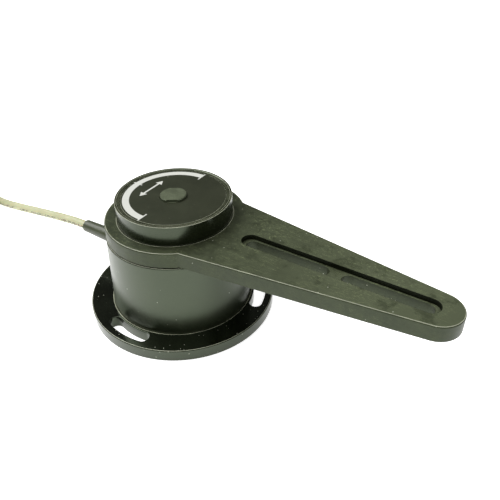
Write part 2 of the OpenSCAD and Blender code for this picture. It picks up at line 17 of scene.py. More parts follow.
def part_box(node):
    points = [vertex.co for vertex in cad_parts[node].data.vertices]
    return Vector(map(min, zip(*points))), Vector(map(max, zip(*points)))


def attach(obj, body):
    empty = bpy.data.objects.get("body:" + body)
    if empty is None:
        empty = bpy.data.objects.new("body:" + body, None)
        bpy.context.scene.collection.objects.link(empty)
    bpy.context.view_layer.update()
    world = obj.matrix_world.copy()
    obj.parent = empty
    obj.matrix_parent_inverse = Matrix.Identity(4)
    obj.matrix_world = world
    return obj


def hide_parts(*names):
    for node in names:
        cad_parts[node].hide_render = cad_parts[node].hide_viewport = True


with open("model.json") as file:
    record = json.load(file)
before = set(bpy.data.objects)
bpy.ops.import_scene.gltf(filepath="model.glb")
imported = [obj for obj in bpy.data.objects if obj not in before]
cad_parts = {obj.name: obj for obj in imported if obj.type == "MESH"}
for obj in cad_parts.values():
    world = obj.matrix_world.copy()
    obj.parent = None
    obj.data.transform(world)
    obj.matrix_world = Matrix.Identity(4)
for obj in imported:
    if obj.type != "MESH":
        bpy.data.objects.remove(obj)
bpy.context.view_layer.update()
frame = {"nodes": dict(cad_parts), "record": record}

MM = 0.001
FINE = 192


def box(node):
    """A CAD node's lowest and highest corner, in millimetres."""
    return tuple(Vector(corner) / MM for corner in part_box(node))


# ---- Sizes taken from the frame ----

FLANGE_R = box("mounting_flange")[1].x
FLANGE_H = box("mounting_flange")[1].z
LIP_H = box("housing_body")[0].z
FOOT_R = box("housing_body")[1].x
ROOF_Z = box("housing_body")[1].z
LEVER_Z = box("lever_arm")[0].z
LEVER_TOP = box("lever_arm")[1].z
HUB_R = -box("lever_arm")[0].x
TIP_X = box("lever_arm")[1].x
CAP_R = box("dial_cap")[1].x
CAP_Z = box("dial_cap")[1].z
PLATE_R = box("dial_plate")[1].x
PLATE_Z, PLATE_TOP = (corner.z for corner in box("dial_plate"))
SHAFT_R = box("shaft")[1].x
BOOT_END = -box("strain_relief")[0].x
BOOT_INNER = -box("strain_relief")[1].x
BOOT_R = box("strain_relief")[1].y
CABLE_Z = (box("strain_relief")[0].z + box("strain_relief")[1].z) / 2
CABLE_R = box("cable_inner")[1].y

# ---- Sizes that part.scad sets ----

STILL_GAP = 0.03

LIP_R = 32
SEAT_R = 37.8
SLOT_CIRCLE_R = 42.7
CURVED_SLOT_W = 6.5
SLOT_SWEEP = 26.4
SLOT_TURNS = (27, 147, 267)
SCREWS_ROUND = 4
SCREW_TURN = 45
FLANGE_SCREW_R = 35.1
SCREW_R = 1.5
SCREW_DEPTH = 12

ROOF_R = 36.2
FOOT_RING_R = 27.5
ROOM_R = 32.5
ROOM_TOP = 39
BOSS_R = 13
BOSS_Z = 33
BUSH_R = 8.5
LIP_SEAL_R = 10.5
LIP_SEAL_Z = 42.8
STOP_CIRCLE_R = 20.5
STOP_PIN_R = 2
STOP_PIN_DEPTH = 6

ARM_REACH = 135.5
ARM_ROOT_R = 30.3
RECESS = (41.5, 137.2, 9)  # from X, to X, width
RECESS_DEPTH = 2.5
LEVER_SLOTS = ((43.8, 87, 7), (93.5, 134.9, 7))  # from X, to X, width
HUB_LEDGE_R = 26.5
HUB_BORE_R = CAP_R + 0.1
CAP_SEAT = LEVER_Z + 1.6
GRUB_TURNS = (75, 150)
GRUB_R = 2
GRUB_Z = (LEVER_Z + LEVER_TOP) / 2 + 0.5

CAP_CORE_R = 11
CAP_CORE_Z = ROOF_Z + 0.1
CAP_CEILING_Z = 60
SKIRT_R = 25.5
RIM_W = 1.1
RIM_STEP = 0.3
RIB_IN_R = 18
RIB_OUT_R = 23
RIB_Z = 48.3
RIB_FROM = 96

BOOT_END_R = 3.6
COIL_AT = Vector((-225, -41.1, 0))
COIL_ROWS = 6
COIL_R = 17 * CABLE_R
TIE_H = 0.8
TIE_W = 5
TIE_TURNS = (45, 225, 315)
TAIL_TURN = 165
TAIL_START = -24
TAIL_L = 14
CORE_R = 0.6
CABLE_ROUTE = (
    (-72, 0, 22), (-82, 0, 21.7), (-93, 0.2, 20.3), (-104, 0.6, 18.5), (-115, 1.2, 16.4),
    (-126, 2, 14.1), (-137, 3, 11.6), (-148, 4.3, 9), (-159, 5.8, 6.4), (-170, 7.6, 4.1),
    (-181, 9.5, 2.8), (-192, 11.3, 2.5), (-203, 12.7, 2.7), (-214, 13.6, 3.1), (-225, 13.9, 3.3),
)

# ---- Sizes that follow, and small ones that only the looks need ----

PITCH = 2 * CABLE_R
COIL_SIZE = COIL_ROWS * PITCH
COIL_OUTER_R = COIL_R + (COIL_ROWS - 1) * PITCH / 2
COIL_TOP = TIE_H + CABLE_R + COIL_SIZE
COIL_START = 90
ROW_STEP_FROM = 0.8  # the share of a turn after which the cable moves to the next row
TAIL_BENDS = ((90, 0), (100, 0.3), (112, 1.4), (124, 3.2))  # turn, and distance inwards
CABLE_SIDES = 16
CORE_SIDES = 12
WIRE_SIDES = 10
BOOT_SOCKET = 6  # how far inside the boot's mouth the free cable starts
SLEEVE_MOUTH = 13  # where along the end sleeve the cores come out
WIRE_R = 0.35
TIP_STEPS = 5  # the steps of a core's line that are bare wire
PAST = 1  # how far the shape of a hole runs past a face
BORE_SLACK = 0.03
PLATE_BORE_R = SHAFT_R + 0.2
CAD_SHARP = 30
FLOOR_REACH = 3000
FLOOR_DROP = 0.05


# ---- Camera ----

def towards(azimuth, elevation):
    a, e = math.radians(azimuth), math.radians(elevation)
    return Vector((math.sin(a) * math.cos(e), -math.cos(a) * math.cos(e), math.sin(e)))


def aim_camera(azimuth, elevation, roll, distance, target, lens):
    """A camera that looks at target from a direction and a distance."""
    back = towards(azimuth, elevation)
    data = bpy.data.cameras.new("camera")
    data.lens = lens
    data.clip_start = 0.01
    camera = bpy.data.objects.new("camera", data)
    camera.rotation_mode = "QUATERNION"
    camera.location = (Vector(target) + back * distance) * MM
    turn = Matrix.Rotation(math.radians(roll), 4, back)
    camera.rotation_quaternion = turn.to_quaternion() @ (-back).to_track_quat("-Z", "Y")
    bpy.context.scene.collection.objects.link(camera)
    bpy.context.scene.camera = camera


aim_camera(azimuth=33.93, elevation=35.87, roll=-1.1, distance=304.3, target=(31.2, 21, 30.6),
           lens=41.05)


# ---- Node helpers ----

def add(tree, kind, inputs=None, **settings):
    """A shader node with its settings and inputs; an input is a value or another node's output."""
    made = tree.nodes.new(kind)
    for name, value in settings.items():
        setattr(made, name, value)
    for name, value in (inputs or {}).items():
        if isinstance(value, bpy.types.NodeSocket):
            tree.links.new(value, made.inputs[name])
        else:
            made.inputs[name].default_value = value
    return made


def new_material(name):
    """A material with an empty tree, and its tree."""
    made = bpy.data.materials.new(name)
    made.use_nodes = True
    made.node_tree.nodes.clear()
    return made, made.node_tree


def noise(tree, where, scale, detail=3, roughness=0.5):
    """Soft noise from 0 to 1; scale counts its features in one unit of where."""
    return add(tree, "ShaderNodeTexNoise",
               {"Vector": where, "Scale": scale, "Detail": detail, "Roughness": roughness}
               ).outputs["Fac"]


def maths(tree, operation, a, b=0.0, clamp=False):
    """One sum of two values, or one function of the first."""
    return add(tree, "ShaderNodeMath", {0: a, 1: b}, operation=operation,
               use_clamp=clamp).outputs[0]


def band(tree, value, low, high):
    """0 below low, 1 above high, and a ramp between."""
    return add(tree, "ShaderNodeMapRange",
               {"Value": value, "From Min": low, "From Max": high}).outputs[0]


def blend_colours(tree, share, first, second):
    """The first colour where share is 0, the second where it is 1."""
    made = add(tree, "ShaderNodeMix", {"Factor": share}, data_type="RGBA")
    for socket, colour in ((made.inputs[6], first), (made.inputs[7], second)):
        if isinstance(colour, bpy.types.NodeSocket):
            tree.links.new(colour, socket)
        else:
            socket.default_value = (*colour, 1)
    return made.outputs[2]


def thin_lines(tree, where, scale, width):
    """Thin lines, where a noise passes its middle value."""
    lines = noise(tree, where, scale, detail=2, roughness=0.4)
    near = maths(tree, "ABSOLUTE", maths(tree, "SUBTRACT", lines, 0.5))
    return band(tree, near, width, 0)


def scratches(tree, where, angle, scale, width, patches):
    """Fine straight scratches along one direction, only in some patches."""
    along = add(tree, "ShaderNodeMapping",
                {"Vector": where, "Rotation": (0, 0, math.radians(angle)), "Scale": (1, 30, 30)}
                ).outputs[0]
    where_some = band(tree, noise(tree, where, patches, detail=2), 0.5, 0.62)
    return maths(tree, "MULTIPLY", thin_lines(tree, along, scale, width), where_some)


def flecks(tree, where):
    """Short curled scratches of a millimetre or two, in patches."""
    wound = add(tree, "ShaderNodeMapping",
                {"Vector": where, "Rotation": (0, 0, 0.7), "Scale": (1, 3.5, 3.5)}).outputs[0]
    broken = band(tree, noise(tree, where, scale=620, detail=1), 0.48, 0.56)
    where_some = band(tree, noise(tree, where, scale=42), 0.46, 0.58)
    short = maths(tree, "MULTIPLY", thin_lines(tree, wound, scale=260, width=0.03), broken)
    return maths(tree, "MULTIPLY", short, where_some)


def turning_rings(tree, spot):
    """A wave whose crests are the fine rings that a lathe's tool leaves on walls and faces."""
    across = maths(tree, "SQRT", maths(tree, "ADD", maths(tree, "MULTIPLY", spot[0], spot[0]),
                                       maths(tree, "MULTIPLY", spot[1], spot[1])))
    along = maths(tree, "ADD", across, maths(tree, "MULTIPLY", spot[2], WALL_FEED))
    return maths(tree, "SINE", maths(tree, "MULTIPLY", along, 2 * math.pi / (RING_FEED * MM)))


def specks(tree, where, scale, size, share):
    """Small round specks, in a share of the cells of a random grid."""
    cells = add(tree, "ShaderNodeTexVoronoi", {"Vector": where, "Scale": scale})
    dot = band(tree, cells.outputs["Distance"], size, size * 0.5)
    pick = add(tree, "ShaderNodeSeparateColor", {"Color": cells.outputs["Color"]}).outputs[0]
    return maths(tree, "MULTIPLY", dot, maths(tree, "LESS_THAN", pick, share))


def finish_material(tree, colour, roughness, height, depth, **shader):
    """The shader with its colour, roughness and bump, and the output; depth is in millimetres."""
    bump = add(tree, "ShaderNodeBump", {"Height": height, "Distance": depth * MM})
    surface = add(tree, "ShaderNodeBsdfPrincipled",
                  {"Base Color": colour, "Roughness": roughness, "Normal": bump.outputs[0],
                   **shader})
    add(tree, "ShaderNodeOutputMaterial", {"Surface": surface.outputs[0]})


# ---- Materials ----

DARK = (0.003, 0.004, 0.0015)
LIGHT = (0.009, 0.011, 0.005)
SIDE_WEAR = 0.25
BLOTCH_GAIN = 1.9
MARK_GAIN = 6
RING_FEED = 0.35
WALL_FEED = 1.3
DUST = (0.5, 0.52, 0.42)
PLASTIC_TINT = (0.84, 1, 0.7, 1)


def scaled(colour, gain):
    """The colour times a gain, at most 1."""
    return [min(1, gain * c) for c in colour]


def acetal(name, dark, light, roughness=0.25, wear=0.3, dust=0.05, rings=0.0, painted_top_light=None,
           shine=0.7, depth=0.004):
    """Black acetal: cloudy colour, fine grain, scuffs and scratches, dust and turning rings.

    painted_top_light is a paler colour painted on top faces, a painted sheen for the light they
    catch, and the distances along X, in millimetres, between which it grows, with painted shade
    near the hub for the cap's dark reflection. Sides get only a share of the wear."""
    made, tree = new_material(name)
    where = add(tree, "ShaderNodeTexCoord").outputs["Object"]
    spot = add(tree, "ShaderNodeSeparateXYZ", {"Vector": where}).outputs
    cloud = noise(tree, where, scale=45, detail=5, roughness=0.6)
    grain = noise(tree, where, scale=2200, detail=4, roughness=0.6)
    blotch = band(tree, noise(tree, where, scale=230, detail=4, roughness=0.65), 0.42, 0.7)
    colour = blend_colours(tree, band(tree, cloud, 0.35, 0.68), dark, light)
    colour = blend_colours(tree, maths(tree, "MULTIPLY", blotch, wear * 0.5), colour,
                           scaled(light, BLOTCH_GAIN))
    facing = add(tree, "ShaderNodeSeparateXYZ",
                 {"Vector": add(tree, "ShaderNodeNewGeometry").outputs["Normal"]}).outputs[2]
    top = band(tree, facing, 0.8, 0.97)
    # Painted light: top faces made paler in patches, a painted sheen that grows out along X, darker
    # near the hub
    if painted_top_light:
        top_light_colour, first, last = painted_top_light
        patches = band(tree, noise(tree, where, scale=120, detail=5, roughness=0.7), 0.4, 0.54)
        top_light_patches = maths(tree, "ADD", patches, 0.35, clamp=True)
        shown = maths(tree, "MULTIPLY", top, top_light_patches)
        along_x = band(tree, spot[0], first * MM, last * MM)
        colour = blend_colours(tree, maths(tree, "MULTIPLY", shown, along_x), colour, top_light_colour)
    marks = scratches(tree, where, angle=20, scale=60, width=0.012, patches=60)
    for angle in (-35, 75, 110):
        more = scratches(tree, where, angle, scale=75, width=0.009, patches=70 + angle)
        marks = maths(tree, "MAXIMUM", marks, more)
    marks = maths(tree, "MAXIMUM", marks, flecks(tree, where))
    on_top = maths(tree, "MULTIPLY", top, wear * (1 - SIDE_WEAR))
    most = maths(tree, "ADD", wear * SIDE_WEAR, on_top)
    marks = maths(tree, "MULTIPLY", marks, most, clamp=True)
    colour = blend_colours(tree, marks, colour, scaled(light, MARK_GAIN))
    dusty = maths(tree, "MULTIPLY", specks(tree, where, scale=520, size=0.16, share=dust), 0.8)
    colour = blend_colours(tree, dusty, colour, DUST)
    rough = maths(tree, "ADD", roughness, maths(tree, "MULTIPLY", cloud, 0.1))
    rough = maths(tree, "ADD", rough, maths(tree, "MULTIPLY", blotch, 0.15 * wear))
    height = maths(tree, "SUBTRACT", grain, maths(tree, "MULTIPLY", marks, 0.8))
    if rings:
        feed = turning_rings(tree, spot)
        height = maths(tree, "ADD", height, maths(tree, "MULTIPLY", feed, rings))
    finish_material(tree, colour, rough, height, depth,
                    **{"Specular IOR Level": shine, "Specular Tint": PLASTIC_TINT})
    return made


def painted_edge_highlight(name, colour):
    """A pale colour on the chamfers and edge rows of black acetal pieces: a painted highlight."""
    made, tree = new_material(name)
    where = add(tree, "ShaderNodeTexCoord").outputs["Object"]
    patches = noise(tree, where, scale=160, detail=4, roughness=0.6)
    shade = blend_colours(tree, band(tree, patches, 0.35, 0.7), scaled(colour, 0.55), colour)
    rough = maths(tree, "ADD", 0.3, maths(tree, "MULTIPLY", patches, 0.2))
    finish_material(tree, shade, rough, noise(tree, where, scale=1500), depth=0.01)
    return made


def sheath(name, pale, deep, ink):
    """Cream PVC cable sheath with faint dirt and a broken row of dark print specks along one side.

    The UV is the share of the way round the cable and metres along it."""
    made, tree = new_material(name)
    where = add(tree, "ShaderNodeTexCoord")
    spot = add(tree, "ShaderNodeSeparateXYZ", {"Vector": where.outputs["UV"]}).outputs
    dirt = noise(tree, where.outputs["Object"], scale=90, detail=5, roughness=0.65)
    fine = noise(tree, where.outputs["Object"], scale=900, roughness=0.6)
    colour = blend_colours(tree, band(tree, dirt, 0.35, 0.7), pale, deep)
    broken = add(tree, "ShaderNodeMapping",
                 {"Vector": where.outputs["UV"], "Scale": (14, 900, 1)}).outputs[0]
    runs = add(tree, "ShaderNodeMapping",
               {"Vector": where.outputs["UV"], "Scale": (0.5, 70, 1)}).outputs[0]
    dots = band(tree, noise(tree, broken, scale=1, detail=2, roughness=0.6), 0.48, 0.53)
    groups = band(tree, noise(tree, runs, scale=1, detail=1), 0.4, 0.46)
    beside = maths(tree, "ABSOLUTE", maths(tree, "SUBTRACT", spot[0], 0.5))
    printed = maths(tree, "MULTIPLY", maths(tree, "MULTIPLY", dots, groups),
                    band(tree, beside, 0.06, 0.05))
    colour = blend_colours(tree, maths(tree, "MULTIPLY", printed, 0.95), colour, ink)
    rough = maths(tree, "ADD", 0.42, maths(tree, "MULTIPLY", dirt, 0.15))
    finish_material(tree, colour, rough, fine, depth=0.03, **{"Subsurface Weight": 0.05})
    return made


def print_white(name, full, thinned):
    """White ink that lets a little of the plate through where it is thin."""
    made, tree = new_material(name)
    where = add(tree, "ShaderNodeTexCoord").outputs["Object"]
    thin = band(tree, noise(tree, where, scale=900, detail=4, roughness=0.7), 0.62, 0.78)
    colour = blend_colours(tree, thin, full, thinned)
    finish_material(tree, colour, 0.5, noise(tree, where, scale=2500), depth=0.006)
    return made


def metal(name, colour, rough, streaks=(1, 1, 40)):
    """Turned or drawn metal with fine streaks."""
    made, tree = new_material(name)
    where = add(tree, "ShaderNodeTexCoord").outputs["Object"]
    drawn = add(tree, "ShaderNodeMapping", {"Vector": where, "Scale": streaks}).outputs[0]
    line = noise(tree, drawn, scale=300, roughness=0.6)
    shade = blend_colours(tree, band(tree, line, 0.3, 0.7), colour, scaled(colour, 0.75))
    rough = maths(tree, "ADD", rough, maths(tree, "MULTIPLY", line, 0.2))
    finish_material(tree, shade, rough, line, depth=0.01, Metallic=1.0)
    return made


def moulded(name, colour, rough, variation=0.3, depth=0.02, shine=0.5):
    """Moulded plastic or rubber: a fine grain and slow changes of shade."""
    made, tree = new_material(name)
    where = add(tree, "ShaderNodeTexCoord").outputs["Object"]
    slow = noise(tree, where, scale=70, detail=4, roughness=0.6)
    grain = noise(tree, where, scale=1600, detail=4, roughness=0.65)
    shade = blend_colours(tree, band(tree, slow, 0.35, 0.7), colour,
                          scaled(colour, 1 + variation))
    rough = maths(tree, "ADD", rough, maths(tree, "MULTIPLY", slow, 0.15))
    finish_material(tree, shade, rough, grain, depth, **{"Specular IOR Level": shine})
    return made


def circuit(name, mask, over_copper):
    """Green solder mask over faint copper tracks."""
    made, tree = new_material(name)
    where = add(tree, "ShaderNodeTexCoord").outputs["Object"]
    tracks = add(tree, "ShaderNodeTexBrick",
                 {"Vector": where, "Scale": 260.0, "Mortar Size": 0.03}).outputs["Fac"]
    shade = blend_colours(tree, tracks, mask, over_copper)
    finish_material(tree, shade, 0.3, tracks, depth=0.02)
    return made


MATERIALS = {
    "flange": acetal("acetal_flange", (0.001, 0.001, 0.0005), (0.003, 0.004, 0.002),
                     roughness=0.1, wear=0.2, dust=0.3),
    "housing": acetal("acetal_housing", DARK, LIGHT, roughness=0.24, wear=0.15, dust=0.04,
                      rings=0.25, shine=0.85, depth=0.0025),
    # The lever's painted_top_light: a paler painted sheen on its top faces that grows out along the
    # arm
    "lever": acetal("acetal_lever", (0.015, 0.018, 0.0085), (0.029, 0.034, 0.017),
                    roughness=0.38, wear=0.8, dust=0.1, shine=0.42, depth=0.014,
                    painted_top_light=((0.068, 0.078, 0.045), 0, 110)),
    # Near black on the lever recess's walls: painted shade, where light doesn't reach into the
    # recess
    "recess_shade": acetal("acetal_recess_painted_shade", DARK, LIGHT, roughness=0.6, wear=0.1, dust=0.02, shine=0.15),
    # The cap's painted_top_light: a paler painted sheen on all its top faces
    "dial_cap": acetal("acetal_cap", DARK, LIGHT, roughness=0.16, wear=0.15, dust=0.04,
                       rings=0.25, painted_top_light=((0.05, 0.055, 0.033), -90, -80)),
    "shaft": acetal("acetal_shaft", (0.055, 0.064, 0.038), (0.08, 0.092, 0.058),
                    roughness=0.35, wear=0.4, dust=0.03),
    "dial_plate": acetal("label_black", (0.012, 0.013, 0.006), (0.02, 0.021, 0.011),
                         roughness=0.35, wear=0.1, dust=0.03),
    # Pale chamfers and edge rows on the acetal pieces: a painted highlight
    "edge": painted_edge_highlight("acetal_edge_highlight", (0.42, 0.44, 0.32)),
    "print": print_white("print_white", (0.62, 0.63, 0.58), (0.42, 0.44, 0.37)),
    "cable": sheath("pvc_sheath", (0.52, 0.54, 0.345), (0.45, 0.465, 0.28), (0.03, 0.03, 0.02)),
    "boot": moulded("pvc_boot", (0.05, 0.058, 0.033), 0.3, variation=0.4, shine=0.45),
    # A paler rounded end lip on the boot: a painted highlight
    "boot_edge": moulded("boot_edge", (0.11, 0.12, 0.085), 0.4),
    "rubber": moulded("nitrile_rubber", (0.02, 0.02, 0.02), 0.6),
    "sleeve": moulded("shrink_sleeve", (0.02, 0.02, 0.021), 0.4),
    "tie": moulded("nylon_tie", (0.015, 0.015, 0.015), 0.35),
    "chips": moulded("epoxy_chip", (0.02, 0.02, 0.02), 0.5),
    "terminal": moulded("green_nylon", (0.03, 0.22, 0.08), 0.35),
    "potentiometer": moulded("blue_phenolic", (0.03, 0.1, 0.26), 0.35),
    "board": circuit("solder_mask", (0.01, 0.12, 0.04), (0.04, 0.24, 0.09)),
    "steel": metal("stainless", (0.56, 0.56, 0.55), 0.25),
    "dark_steel": metal("black_oxide", (0.09, 0.09, 0.09), 0.4),
    "bronze": metal("sintered_bronze", (0.5, 0.34, 0.17), 0.4),
    "brass": metal("turned_brass", (0.66, 0.5, 0.24), 0.25),
    "aluminium": metal("sheet_aluminium", (0.7, 0.7, 0.71), 0.35, streaks=(1, 30, 1)),
    "cores": moulded("core_brown", (0.17, 0.06, 0.025), 0.4),
    "core_white": moulded("core_white", (0.75, 0.75, 0.72), 0.4),
    "core_green": moulded("core_green", (0.05, 0.32, 0.08), 0.4),
}
CORES = ("cores", "core_white", "core_green")


# ---- Mesh helpers ----

def drill(piece, holes):
    """Takes the shapes of the holes out of the piece's mesh."""
    cutter = drill_shapes(holes)
    cut = piece.modifiers.new("cut", "BOOLEAN")
    cut.operation = "DIFFERENCE"
    cut.solver = "EXACT"
    cut.object = cutter
    bpy.context.view_layer.update()
    drilled = piece.evaluated_get(bpy.context.evaluated_depsgraph_get())
    mesh = bpy.data.meshes.new_from_object(drilled)
    piece.modifiers.remove(cut)
    piece.data = mesh
    bpy.data.objects.remove(cutter)


def make_piece(name, body, points, faces, materials, replaced=(), which=None, uvs=None,
               sharp=35, holes=()):
    """A mesh piece from points in millimetres; which gives each face's material number."""
    mesh = bpy.data.meshes.new(name)
    mesh.from_pydata([Vector(p) * MM for p in points], [], faces)
    for name_of in materials:
        mesh.materials.append(MATERIALS[name_of])
    if which:
        mesh.polygons.foreach_set("material_index", which)
    if uvs:
        layer = mesh.uv_layers.new(name="along")
        layer.data.foreach_set("uv", [x for face in uvs for uv in face for x in uv])
    mesh.validate()
    piece = bpy.data.objects.new(name, mesh)
    bpy.context.scene.collection.objects.link(piece)
    if holes:
        drill(piece, holes)
    piece.data.shade_smooth()
    piece.data.set_sharp_from_angle(angle=math.radians(sharp))
    weighted = piece.modifiers.new("normals", "WEIGHTED_NORMAL")
    weighted.keep_sharp = True
    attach(piece, body)
    if replaced:
        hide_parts(*replaced)
    return piece


def rounded(profile, steps=3):
    """The profile's corners as arcs. A corner is (x, y, radius, edge?); edge marks its faces.

    Gives the points and, for each, whether the face that follows it is an edge face. An arc takes
    a little less than half of the side on either hand, so that two arcs never meet."""
    points, marks = [], []
    for i, corner in enumerate(profile):
        here = Vector(corner[:2])
        radius = corner[2] if len(corner) > 2 else 0
        edge = len(corner) > 3 and corner[3]
        if radius <= 0:
            points.append(here)
            marks.append(False)
            continue
        back = Vector(profile[i - 1][:2]) - here
        ahead = Vector(profile[(i + 1) % len(profile)][:2]) - here
        most = 0.49 * min(back.length, ahead.length)
        reach = min(radius / math.tan(back.angle(ahead) / 2), most)
        start, end = here + back.normalized() * reach, here + ahead.normalized() * reach
        for k in range(steps + 1):
            t = k / steps
            points.append((1 - t) ** 2 * start + 2 * t * (1 - t) * here + t * t * end)
            marks.append(edge and k < steps)
    return points, marks


def turned(profile, steps, sides):
    """A closed profile of (radius, height) turned about Z: points, faces and their marks."""
    ring, marks = rounded(profile, steps)
    count = len(ring)
    points = [Vector((p.x * math.cos(a), p.x * math.sin(a), p.y))
              for a in (2 * math.pi * s / sides for s in range(sides)) for p in ring]
    on_axis = [p.x < 1e-6 for p in ring]
    faces, which = [], []
    for s in range(sides):
        for i in range(count):
            j, t = (i + 1) % count, (s + 1) % sides
            if on_axis[i] and on_axis[j]:
                continue
            corners = [s * count + i, t * count + i, t * count + j, s * count + j]
            if on_axis[i]:
                corners.pop(1)
            elif on_axis[j]:
                corners.pop(2)
            faces.append(corners)
            which.append(1 if marks[i] else 0)
    return points, faces, which


def lathe(name, body, profile, materials, replaced=(), place=None, steps=3, sides=FINE,
          holes=()):
    """A piece turned from its profile and put in place."""
    points, faces, which = turned(profile, steps, sides)
    if place is not None:
        points = [place @ p for p in points]
    return make_piece(name, body, points, faces, materials, replaced, which, holes=holes)


def drill_shapes(holes, sides=48):
    """One object with the shape of every hole; a hole is a profile and where it goes."""
    mesh = bpy.data.meshes.new("drill_shapes")
    shapes = bmesh.new()
    for profile, place in holes:
        points, faces, _ = turned(profile, 1, sides)
        corners = [shapes.verts.new(place @ p * MM) for p in points]
        for face in faces:
            shapes.faces.new([corners[i] for i in face])
    bmesh.ops.remove_doubles(shapes, verts=shapes.verts, dist=1e-7)
    bmesh.ops.recalc_face_normals(shapes, faces=shapes.faces)
    shapes.to_mesh(mesh)
    shapes.free()
    cutter = bpy.data.objects.new("drill_shapes", mesh)
    bpy.context.scene.collection.objects.link(cutter)
    return cutter


def round_hole(radius, low, high):
    """The profile of a plain hole along Z."""
    return [(0, low), (radius, low), (radius, high), (0, high)]


def inset_loop(loop, distance):
    """A closed counter-clockwise loop moved inwards by distance."""
    moved = []
    for i, here in enumerate(loop):
        before = (here - loop[i - 1]).normalized()
        after = (loop[(i + 1) % len(loop)] - here).normalized()
        n1, n2 = Vector((-before.y, before.x)), Vector((-after.y, after.x))
        moved.append(here + (n1 + n2) * (distance / (1 + n1.dot(n2))))
    return moved


def arc(centre, radius, start, end, steps):
    """Points on an arc, angles in degrees."""
    return [Vector((centre[0] + radius * math.cos(math.radians(a)),
                    centre[1] + radius * math.sin(math.radians(a))))
            for a in (start + (end - start) * k / steps for k in range(steps + 1))]


def circle(radius, steps=FINE):
    """A full circle, counter-clockwise, its last point one step before its first."""
    return arc((0, 0), radius, 0, 360 * (steps - 1) / steps, steps - 1)


def about_z(turn):
    """A turn about Z, in degrees."""
    return Matrix.Rotation(math.radians(turn), 4, "Z")


def tilted(x, y, z, angle):
    """Puts a piece at a point with its +Z tilted by an angle towards +X."""
    return Matrix.Translation((x, y, z)) @ Matrix.Rotation(math.radians(angle), 4, "Y")


def stadium(from_x, to_x, width, steps=16):
    """A straight slot with round ends, counter-clockwise."""
    r = width / 2
    return arc((to_x - r, 0), r, -90, 90, steps) + arc((from_x + r, 0), r, 90, 270, steps)


def curved_slot(middle, steps=12):
    """A slot along the flange's slot circle with round ends, counter-clockwise."""
    r, w, half = SLOT_CIRCLE_R, CURVED_SLOT_W / 2, SLOT_SWEEP / 2
    first, last = middle - half, middle + half
    ends = [(r * math.cos(math.radians(a)), r * math.sin(math.radians(a))) for a in (first, last)]
    outer = arc((0, 0), r + w, first, last, 2 * steps)
    inner = arc((0, 0), r - w, last, first, 2 * steps)
    return (outer[:-1] + arc(ends[1], w, last, last + 180, steps)[:-1]
            + inner[:-1] + arc(ends[0], w, first + 180, first + 360, steps)[:-1])


def wall(points, faces, which, loop, levels, outward, edge_levels=(), shade=0):
    """A ribbon of faces round a loop. levels are (inset, height) from the bottom up.

    outward is True for an outside wall, and shade is the material number of the faces that aren't
    at an edge level. Gives the numbers of the bottom and the top ring."""
    count, start = len(loop), len(points)
    for inset, height in levels:
        points += [Vector((p.x, p.y, height))
                   for p in inset_loop(loop, inset if outward else -inset)]
    for level in range(len(levels) - 1):
        for i in range(count):
            j = (i + 1) % count
            a, b = start + level * count + i, start + level * count + j
            corners = [a, b, b + count, a + count]
            faces.append(corners if outward else corners[::-1])
            which.append(1 if level in edge_levels else shade)
    bottom = list(range(start, start + count))
    top = list(range(start + (len(levels) - 1) * count, start + len(levels) * count))
    return bottom, top


def cap(points, faces, which, rings, up):
    """Flat faces between an outer ring and the holes in it."""
    loops = [[points[i] for i in ring] for ring in rings]
    numbers = [i for ring in rings for i in ring]
    for triangle in tessellate_polygon(loops):
        corners = [numbers[k] for k in triangle]
        a, b, c = (points[k] for k in corners)
        if ((b - a).cross(c - a).z > 0) != up:
            corners.reverse()
        faces.append(corners)
        which.append(0)


def levels_of(low, high, edge_low, edge_high, steps=3):
    """Levels of a wall with rounded edges, and its one row of faces with the painted edge
    highlight, the highest.
    """
    found = [(edge_low * (1 - math.sin(a)), low + edge_low * (1 - math.cos(a)))
             for a in (math.pi / 2 * k / steps for k in range(steps + 1))]
    found += [(edge_high * (1 - math.cos(a)), high - edge_high * (1 - math.sin(a)))
              for a in (math.pi / 2 * k / steps for k in range(steps + 1))]
    return found, {2 * steps}


# ---- The free cable comes first, with the camera ----

def smooth(t):
    """From 0 to 1 with a soft start and end."""
    t = max(0.0, min(1.0, t))
    return t * t * (3 - 2 * t)


def spline(knots, per_span):
    """A smooth curve through the knots."""
    knots = [Vector(k) for k in knots]
    line = []
    for i in range(len(knots) - 1):
        p0, p1, p2 = knots[max(i - 1, 0)], knots[i], knots[i + 1]
        p3 = knots[min(i + 2, len(knots) - 1)]
        for k in range(per_span):
            t = k / per_span
            line.append(0.5 * (2 * p1 + (p2 - p0) * t + (2 * p0 - 5 * p1 + 4 * p2 - p3) * t * t
                               + (3 * p1 - p0 - 3 * p2 + p3) * t ** 3))
    return line + [knots[-1]]


def coil_point(turn, radius, height):
    """A point on the coil, its turn in degrees."""
    a = math.radians(turn)
    return COIL_AT + Vector((radius * math.cos(a), radius * math.sin(a), height))


def coil_turns(per_turn=24):
    """Turns beside and on each other, row by row, each a cable's diameter from the next.

    The next place past the last turn is on top of the outermost row, where the tail starts."""

    def place(number):
        layer, row = divmod(number, COIL_ROWS)
        row = row if layer % 2 == 0 else COIL_ROWS - 1 - row
        return COIL_OUTER_R - row * PITCH, TIE_H + CABLE_R + layer * PITCH

    line = []
    for step in range(1, COIL_ROWS * COIL_ROWS * per_turn):
        number, part = divmod(step / per_turn, 1)
        (r0, z0), (r1, z1) = place(int(number)), place(int(number) + 1)
        share = smooth((part - ROW_STEP_FROM) / (1 - ROW_STEP_FROM))
        line.append(coil_point(COIL_START + 360 * (number + part), r0 + (r1 - r0) * share,
                               z0 + (z1 - z0) * share))
    return line


def cable_tail():
    """From the coil's top row over its top, and straight to the stripped end."""
    bend = [coil_point(turn, COIL_OUTER_R - inwards, COIL_TOP) for turn, inwards in TAIL_BENDS]
    straight = [COIL_AT + about_z(TAIL_TURN) @ Vector((COIL_R, along, COIL_TOP))
                for along in (TAIL_START, TAIL_START + TAIL_L)]
    return spline(bend + straight, 4)


